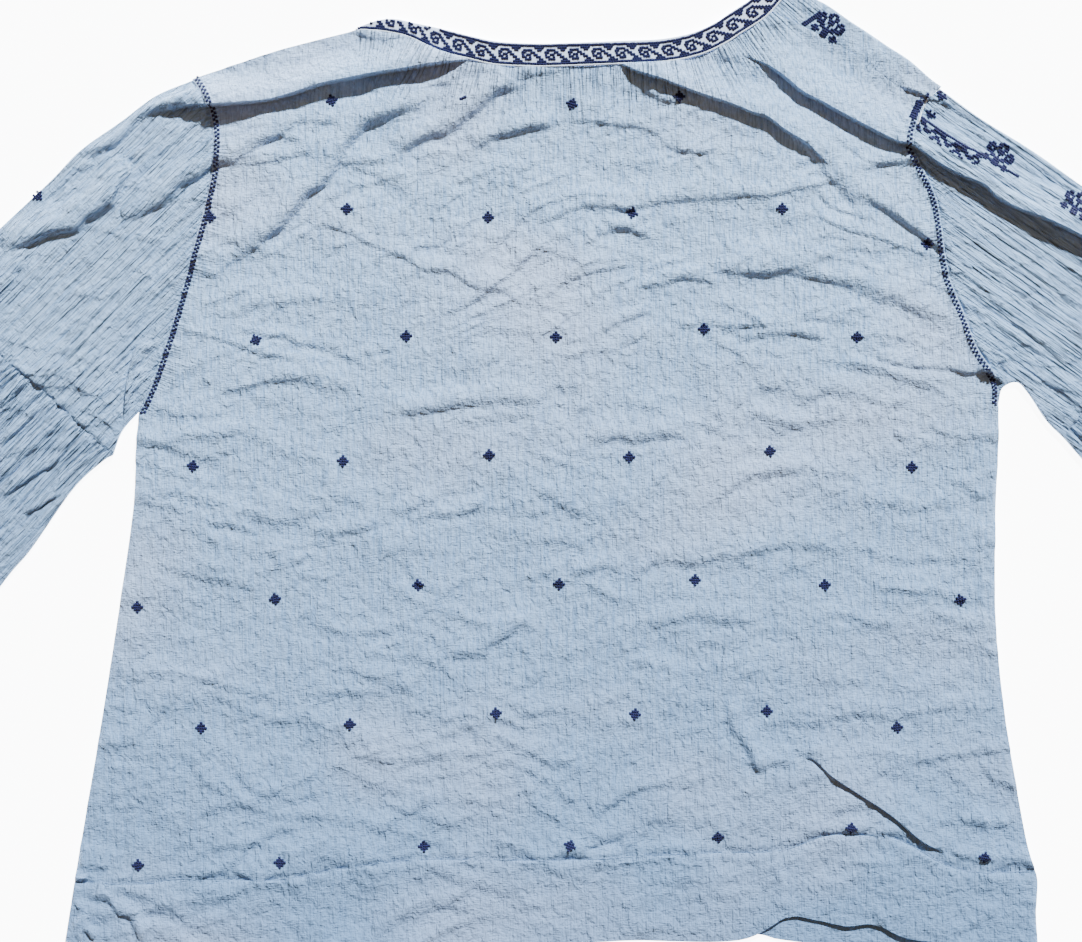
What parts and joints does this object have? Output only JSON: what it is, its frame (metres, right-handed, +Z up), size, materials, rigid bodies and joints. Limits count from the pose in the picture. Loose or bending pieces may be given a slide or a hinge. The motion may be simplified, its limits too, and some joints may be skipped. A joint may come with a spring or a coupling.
{
  "type": "peasant blouse",
  "caption": "Peasant blouse of crinkled gauze laid flat with its back up, with a banded gathered neck, wide sleeves and gathered flounces.",
  "frame": {"origin": "on the surface below the middle of the laid-out blouse's outline", "axes": "+X across the blouse to the right sleeve, +Y from the hem to the neck, +Z up from the surface"},
  "size_m": [1.2434, 0.6738, 0.0132],
  "materials": {
    "gauze": "matte crinkled cotton gauze",
    "band": "matte cotton with cross-stitch"
  },
  "bodies": {
    "root": {"front_panel": "gauze", "back_panel": "gauze", "neck_band_front": "band", "neck_band_back": "band", "sleeve_left": "gauze", "sleeve_right": "gauze", "flounce_left": "gauze", "flounce_right": "gauze"}
  },
  "joints": []
}
